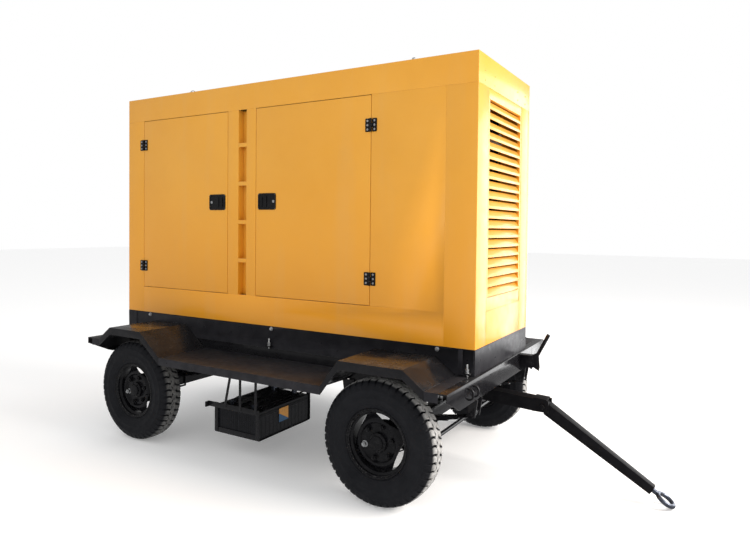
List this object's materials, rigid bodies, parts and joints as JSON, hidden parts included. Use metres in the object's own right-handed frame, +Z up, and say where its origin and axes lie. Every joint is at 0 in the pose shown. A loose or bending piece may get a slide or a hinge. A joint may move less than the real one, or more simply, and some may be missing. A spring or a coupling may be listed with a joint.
{
  "type": "towable generator",
  "caption": "Silenced diesel generator in a yellow sheet-steel canopy on a black four-wheel, front-steered trailer with a hinged drawbar.",
  "frame": {"origin": "on the ground, at the centre of the overall box", "axes": "+X forward to the drawbar and tow eye, +Y left, +Z up"},
  "size_m": [4.5016, 2.036, 2.951],
  "materials": {
    "chassis_black": "glossy black chassis paint",
    "bright_steel": "zinc-plated steel",
    "forged_steel": "forged steel, worn bright inside the ring",
    "canopy_yellow": "orange-yellow powder coat, satin, with slight texture",
    "latch_black": "black powder-coated hardware",
    "tank_black": "black painted tank",
    "cap_red": "red moulded plastic",
    "engine_grey": "grey-green engine enamel over castings",
    "cast_grey": "grey painted casting",
    "fan_black": "moulded fan",
    "radiator_black": "black finned core",
    "silencer_steel": "heat-resistant aluminium paint",
    "panel_grey": "light grey textured enamel",
    "battery_black": "moulded battery case",
    "tyre_rubber": "black tyre rubber, dusty tread",
    "wheel_black": "black wheel enamel"
  },
  "bodies": {
    "trailer": {"chassis_rails": "chassis_black", "cross_members": "chassis_black", "side_decks": "chassis_black", "fenders": "chassis_black", "leaf_springs": "chassis_black", "spring_fittings": "chassis_black", "front_axle_beam": "chassis_black", "rear_axle_beam": "chassis_black", "king_pins": "bright_steel", "generator_base": "chassis_black", "fuel_tank": "tank_black", "base_bolts": "bright_steel", "canopy_roof": "canopy_yellow", "canopy_posts": "canopy_yellow", "step_rungs": "canopy_yellow", "side_panels": "canopy_yellow", "front_end_panel": "canopy_yellow", "rear_end_panel": "canopy_yellow", "louvre_slats": "canopy_yellow", "lifting_eyes": "bright_steel", "door_hinges": "latch_black", "engine_block": "engine_grey", "radiator": "radiator_black", "alternator_frame": "cast_grey", "silencer": "silencer_steel", "control_panel": "panel_grey", "battery_cradle": "chassis_black", "batteries": "battery_black", "handbrake_bracket": "chassis_black"},
    "door_rear_right": {"door_rear_right": "canopy_yellow"},
    "paddle_rear_right": {"paddle_rear_right": "latch_black"},
    "door_front_right": {"door_front_right": "canopy_yellow"},
    "paddle_front_right": {"paddle_front_right": "latch_black"},
    "door_rear_left": {"door_rear_left": "canopy_yellow"},
    "paddle_rear_left": {"paddle_rear_left": "latch_black"},
    "door_front_left": {"door_front_left": "canopy_yellow"},
    "paddle_front_left": {"paddle_front_left": "latch_black"},
    "drawbar_arm": {"drawbar_arm": "chassis_black"},
    "drawbar_pole": {"drawbar_pole": "chassis_black", "tow_eye": "forged_steel"},
    "tie_rod": {"tie_rod": "bright_steel"},
    "knuckle_right": {"knuckle_right": "chassis_black"},
    "knuckle_left": {"knuckle_left": "chassis_black"},
    "wheel_front_right": {"tyre_front_right": "tyre_rubber", "rim_front_right": "wheel_black", "hub_front_right": "wheel_black"},
    "wheel_front_left": {"tyre_front_left": "tyre_rubber", "rim_front_left": "wheel_black", "hub_front_left": "wheel_black"},
    "wheel_rear_right": {"tyre_rear_right": "tyre_rubber", "rim_rear_right": "wheel_black", "hub_rear_right": "wheel_black"},
    "wheel_rear_left": {"tyre_rear_left": "tyre_rubber", "rim_rear_left": "wheel_black", "hub_rear_left": "wheel_black"},
    "handbrake_lever": {"handbrake_lever": "chassis_black"},
    "alternator_rotor": {"alternator_rotor": "cast_grey"},
    "engine_fan": {"engine_fan": "fan_black"},
    "emergency_stop": {"emergency_stop": "cap_red"},
    "fuel_cap": {"fuel_cap": "cap_red"}
  },
  "joints": [
    {"name": "door_rear_right_swing", "type": "hinge", "parent": "trailer", "child": "door_rear_right", "pos_m": [-2.0438, -0.558, 1.93], "axis": [0, 0, -1], "range_deg": [0, 110]},
    {"name": "paddle_rear_right_pull", "type": "hinge", "parent": "door_rear_right", "child": "paddle_rear_right", "pos_m": [-1.0778, -0.543, 1.936], "axis": [0, 0, 1], "range_deg": [0, 35], "stiffness_Nm_per_rad": 0.5},
    {"name": "door_front_right_swing", "type": "hinge", "parent": "trailer", "child": "door_front_right", "pos_m": [0.3302, -0.558, 1.93], "axis": [0, 0, 1], "range_deg": [0, 110]},
    {"name": "paddle_front_right_pull", "type": "hinge", "parent": "door_front_right", "child": "paddle_front_right", "pos_m": [-0.6728, -0.543, 1.936], "axis": [0, 0, -1], "range_deg": [0, 35], "stiffness_Nm_per_rad": 0.5},
    {"name": "door_rear_left_swing", "type": "hinge", "parent": "trailer", "child": "door_rear_left", "pos_m": [-2.0438, 0.558, 1.93], "axis": [0, 0, 1], "range_deg": [0, 110]},
    {"name": "paddle_rear_left_pull", "type": "hinge", "parent": "door_rear_left", "child": "paddle_rear_left", "pos_m": [-1.0778, 0.543, 1.936], "axis": [0, 0, -1], "range_deg": [0, 35], "stiffness_Nm_per_rad": 0.5},
    {"name": "door_front_left_swing", "type": "hinge", "parent": "trailer", "child": "door_front_left", "pos_m": [0.3302, 0.558, 1.93], "axis": [0, 0, -1], "range_deg": [0, 110]},
    {"name": "paddle_front_left_pull", "type": "hinge", "parent": "door_front_left", "child": "paddle_front_left", "pos_m": [-0.6728, 0.543, 1.936], "axis": [0, 0, 1], "range_deg": [0, 35], "stiffness_Nm_per_rad": 0.5},
    {"name": "drawbar_steer", "type": "hinge", "parent": "trailer", "child": "drawbar_arm", "pos_m": [0.63219, 0, 0.572], "axis": [0, 0, 1], "range_deg": [-25, 25]},
    {"name": "drawbar_knee", "type": "hinge", "parent": "drawbar_arm", "child": "drawbar_pole", "pos_m": [1.41919, 0, 0.526], "axis": [0, -1, 0], "range_deg": [0, 38]},
    {"name": "tie_rod_swing", "type": "hinge", "parent": "drawbar_arm", "child": "tie_rod", "pos_m": [0.87719, 0, 0.379], "axis": [0, 0, 1], "range_deg": [-25, 25]},
    {"name": "knuckle_right_steer", "type": "hinge", "parent": "trailer", "child": "knuckle_right", "pos_m": [0.63219, -0.72, 0.4], "axis": [0, 0, 1], "range_deg": [-25, 25]},
    {"name": "knuckle_left_steer", "type": "hinge", "parent": "trailer", "child": "knuckle_left", "pos_m": [0.63219, 0.72, 0.4], "axis": [0, 0, 1], "range_deg": [-25, 25]},
    {"name": "wheel_front_right_spin", "type": "hinge", "parent": "knuckle_right", "child": "wheel_front_right", "pos_m": [0.63219, -0.882, 0.4], "axis": [0, 1, 0], "continuous": true},
    {"name": "wheel_front_left_spin", "type": "hinge", "parent": "knuckle_left", "child": "wheel_front_left", "pos_m": [0.63219, 0.882, 0.4], "axis": [0, 1, 0], "continuous": true},
    {"name": "wheel_rear_right_spin", "type": "hinge", "parent": "trailer", "child": "wheel_rear_right", "pos_m": [-1.6558, -0.882, 0.4], "axis": [0, 1, 0], "continuous": true},
    {"name": "wheel_rear_left_spin", "type": "hinge", "parent": "trailer", "child": "wheel_rear_left", "pos_m": [-1.6558, 0.882, 0.4], "axis": [0, 1, 0], "continuous": true},
    {"name": "handbrake_pull", "type": "hinge", "parent": "trailer", "child": "handbrake_lever", "pos_m": [1.23419, 0.3685, 0.727], "axis": [0, 1, 0], "range_deg": [0, 55]},
    {"name": "alternator_spin", "type": "hinge", "parent": "trailer", "child": "alternator_rotor", "pos_m": [-1.1658, 0, 1.402], "axis": [1, 0, 0], "continuous": true},
    {"name": "fan_spin", "type": "hinge", "parent": "trailer", "child": "engine_fan", "pos_m": [0.41919, 0, 1.572], "axis": [1, 0, 0], "continuous": true},
    {"name": "emergency_stop_press", "type": "slide", "parent": "trailer", "child": "emergency_stop", "axis": [0, 1, 0], "range_m": [0, 0.006], "stiffness_N_per_m": 600},
    {"name": "fuel_cap_turn", "type": "hinge", "parent": "trailer", "child": "fuel_cap", "pos_m": [-0.86581, -0.43, 1.002], "axis": [0, 0, 1], "range_deg": [0, 90]}
  ],
  "couplings": [
    {"joint": "tie_rod_swing", "follows": "drawbar_steer", "ratio": -1},
    {"joint": "knuckle_right_steer", "follows": "drawbar_steer", "ratio": 1},
    {"joint": "knuckle_left_steer", "follows": "drawbar_steer", "ratio": 1},
    {"joint": "fan_spin", "follows": "alternator_spin", "ratio": 1.15}
  ]
}
